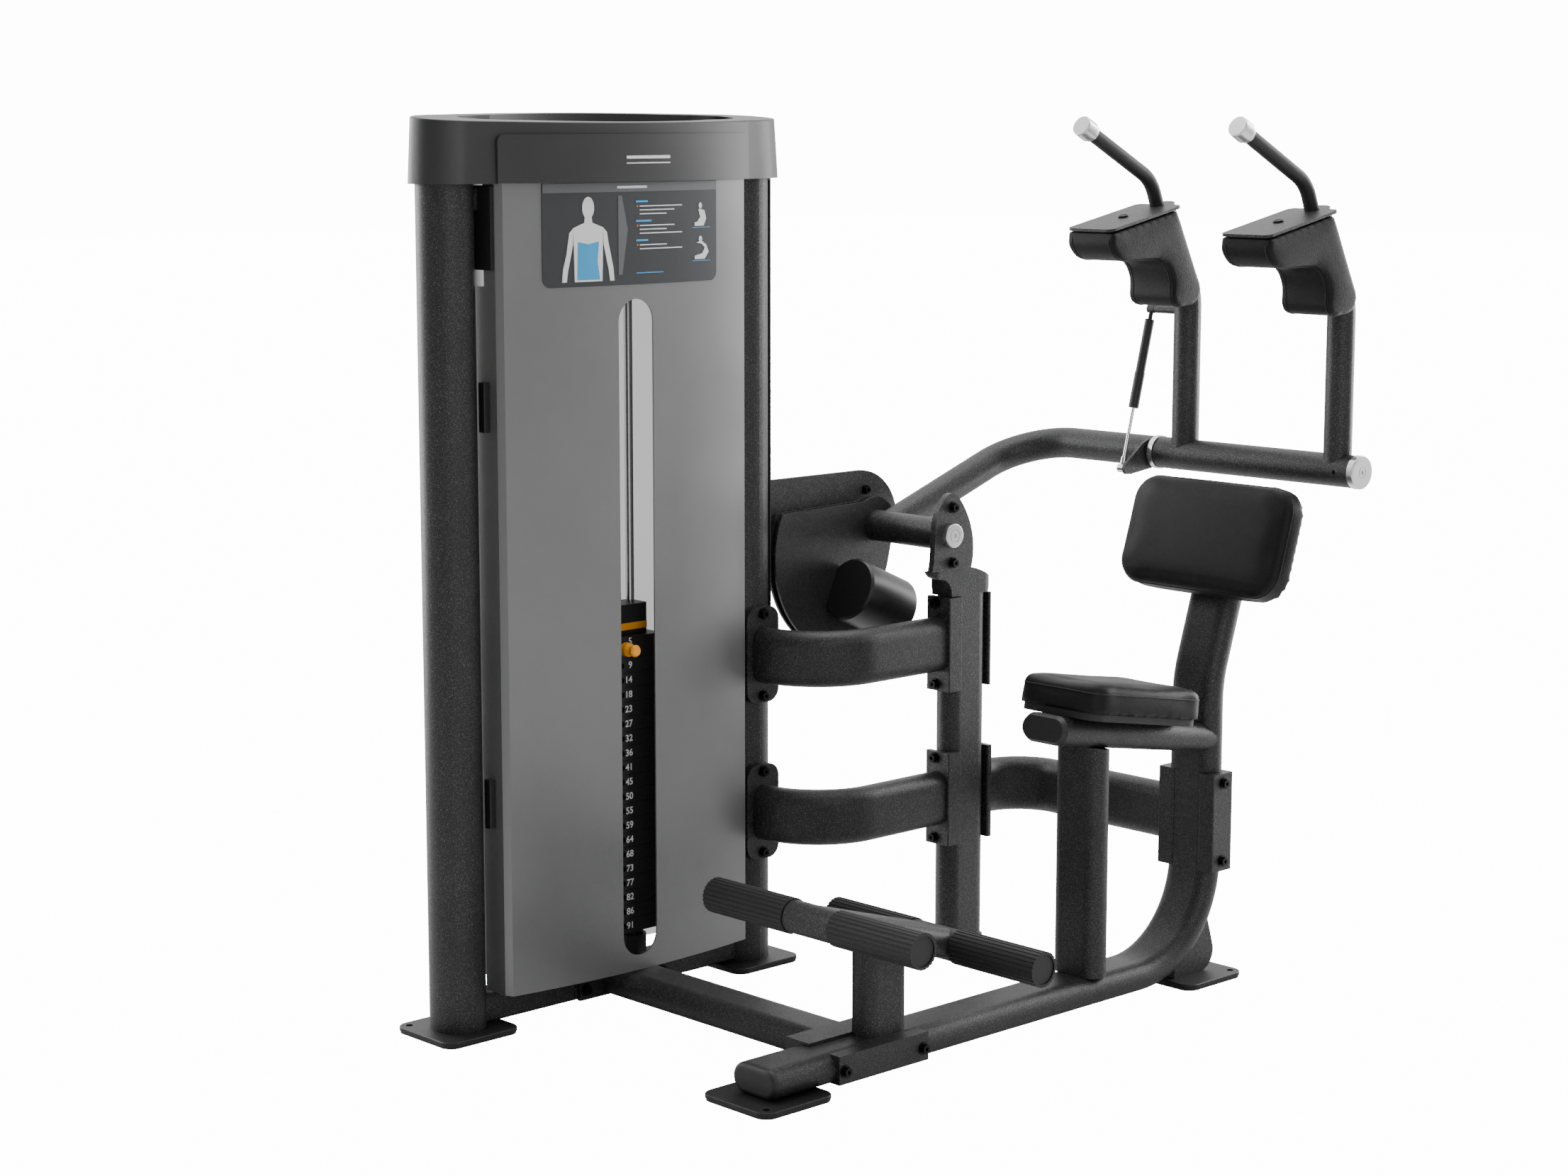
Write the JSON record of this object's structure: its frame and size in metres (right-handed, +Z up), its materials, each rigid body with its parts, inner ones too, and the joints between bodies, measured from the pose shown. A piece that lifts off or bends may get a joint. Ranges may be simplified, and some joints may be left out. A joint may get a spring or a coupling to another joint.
{
  "type": "ab crunch machine",
  "caption": "Selectorised abdominal crunch machine with shrouded weight tower, swinging shoulder pads, seat, back pad and foot rollers.",
  "frame": {"origin": "centre of the bounding box footprint, on the floor", "axes": "+Z up; the user sits facing -Y; +X runs from the weight tower to the seat"},
  "size_m": [0.9557, 1.4366, 1.5208],
  "materials": {
    "frame_coat": "charcoal textured powder coat",
    "black_coat": "black powder coat",
    "counterweight_coat": "smooth near-black paint",
    "plate_coat": "black painted cast plates",
    "bright_steel": "polished",
    "satin_steel": "satin",
    "black_bolt": "black oxide",
    "shroud_grey": "satin mid-grey",
    "shroud_light": "satin light grey",
    "black_plastic": "matte black",
    "placard_face": "semi-gloss dark grey",
    "knob_yellow": "yellow-orange",
    "rubber_black": "ribbed or plain black rubber",
    "belt_black": "flat reinforced belt",
    "upholstery": "black pebble-grain synthetic leather",
    "board_black": "black painted plywood"
  },
  "bodies": {
    "frame": {"foot_pads": "rubber_black", "foot_plates": "black_coat", "tower_posts": "frame_coat", "tower_beams": "frame_coat", "guide_rods": "bright_steel", "stack_cushions": "rubber_black", "weight_plates": "plate_coat", "belt_run": "belt_black", "pulley_brackets": "black_coat", "shafts": "satin_steel", "crown_shell": "black_plastic", "crown_panel": "black_plastic", "shroud_front": "shroud_grey", "shroud_rear": "shroud_light", "shroud_clips": "black_plastic", "placard": "placard_face", "bearing_plates": "frame_coat", "pivot_cap": "satin_steel", "column": "frame_coat", "end_caps": "black_plastic", "braces_front": "frame_coat", "brace_rear": "frame_coat", "brace_flanges": "frame_coat", "main_frame": "frame_coat", "cross_tube": "frame_coat", "cross_saddles": "frame_coat", "seat_frame": "frame_coat", "seat_post": "frame_coat", "pad_boards": "board_black", "seat_pad": "upholstery", "back_pad": "upholstery", "foot_link": "frame_coat", "frame_bolts": "black_bolt"},
    "carriage": {"top_plate": "plate_coat", "selector_stem": "satin_steel", "carriage_block": "black_plastic", "carriage_band": "knob_yellow", "belt_lift": "belt_black"},
    "selector": {"selector_pin": "bright_steel", "selector_knob": "knob_yellow"},
    "pulley_front": {"pulley_front": "black_plastic"},
    "pulley_rear": {"pulley_rear": "black_plastic"},
    "pulley_redirect": {"pulley_redirect": "black_plastic"},
    "arm": {"arm_tube": "frame_coat", "cam": "frame_coat", "counterweight": "counterweight_coat", "arm_shaft": "satin_steel", "sleeve_trim": "bright_steel"},
    "shoulders": {"shoulder_frame": "frame_coat", "shoulder_pad_l": "upholstery", "shoulder_pad_r": "upholstery", "handles": "rubber_black", "handle_caps": "satin_steel"},
    "strut_body": {"strut_cylinder": "black_coat"},
    "strut_rod": {"strut_rod": "bright_steel"},
    "roller_front_l": {"roller_front_l": "rubber_black"},
    "roller_front_r": {"roller_front_r": "rubber_black"},
    "roller_rear_l": {"roller_rear_l": "rubber_black"},
    "roller_rear_r": {"roller_rear_r": "rubber_black"}
  },
  "joints": [
    {"name": "arm_pivot", "type": "hinge", "parent": "frame", "child": "arm", "pos_m": [-0.25605, 0.3122, 0.771], "axis": [1, 0, 0], "range_deg": [0, 60]},
    {"name": "shoulder_swing", "type": "hinge", "parent": "arm", "child": "shoulders", "pos_m": [0.24865, 0.6888, 0.9067], "axis": [1, 0, 0], "range_deg": [0, 35]},
    {"name": "stack_lift", "type": "slide", "parent": "frame", "child": "carriage", "axis": [0, 0, 1], "range_m": [0, 0.24], "deforming": ["belt_lift"]},
    {"name": "selector_pull", "type": "slide", "parent": "carriage", "child": "selector", "axis": [1, 0, 0], "range_m": [0, 0.07]},
    {"name": "pulley_front_spin", "type": "hinge", "parent": "frame", "child": "pulley_front", "pos_m": [-0.35005, -0.2826, 1.45], "axis": [1, 0, 0], "range_deg": [-400, 400]},
    {"name": "pulley_rear_spin", "type": "hinge", "parent": "frame", "child": "pulley_rear", "pos_m": [-0.35005, 0.017, 1.45], "axis": [1, 0, 0], "range_deg": [-400, 400]},
    {"name": "pulley_redirect_spin", "type": "hinge", "parent": "frame", "child": "pulley_redirect", "pos_m": [-0.35005, 0.0734, 0.575], "axis": [1, 0, 0], "range_deg": [-700, 700]},
    {"name": "strut_top", "type": "hinge", "parent": "shoulders", "child": "strut_body", "pos_m": [-0.00505, 0.6888, 1.167], "axis": [1, 0, 0], "range_deg": [-10, 10]},
    {"name": "strut_stroke", "type": "slide", "parent": "strut_body", "child": "strut_rod", "axis": [0, 0.2551, 0.9669], "range_m": [0, 0.06]},
    {"name": "roller_front_l_spin", "type": "hinge", "parent": "frame", "child": "roller_front_l", "pos_m": [0.10565, -0.4013, 0.266], "axis": [1, 0, 0], "continuous": true},
    {"name": "roller_front_r_spin", "type": "hinge", "parent": "frame", "child": "roller_front_r", "pos_m": [0.39165, -0.4013, 0.266], "axis": [1, 0, 0], "continuous": true},
    {"name": "roller_rear_l_spin", "type": "hinge", "parent": "frame", "child": "roller_rear_l", "pos_m": [0.10565, -0.128, 0.1843], "axis": [1, 0, 0], "continuous": true},
    {"name": "roller_rear_r_spin", "type": "hinge", "parent": "frame", "child": "roller_rear_r", "pos_m": [0.39165, -0.128, 0.1843], "axis": [1, 0, 0], "continuous": true}
  ],
  "couplings": [
    {"joint": "stack_lift", "follows": "arm_pivot", "m_per_rad": 0.226},
    {"joint": "pulley_front_spin", "follows": "arm_pivot", "ratio": -6.2431},
    {"joint": "pulley_rear_spin", "follows": "arm_pivot", "ratio": -6.2431},
    {"joint": "pulley_redirect_spin", "follows": "arm_pivot", "ratio": 11.188},
    {"joint": "strut_top", "follows": "shoulder_swing", "ratio": -0.08881},
    {"joint": "strut_stroke", "follows": "shoulder_swing", "m_per_rad": 0.074966}
  ]
}
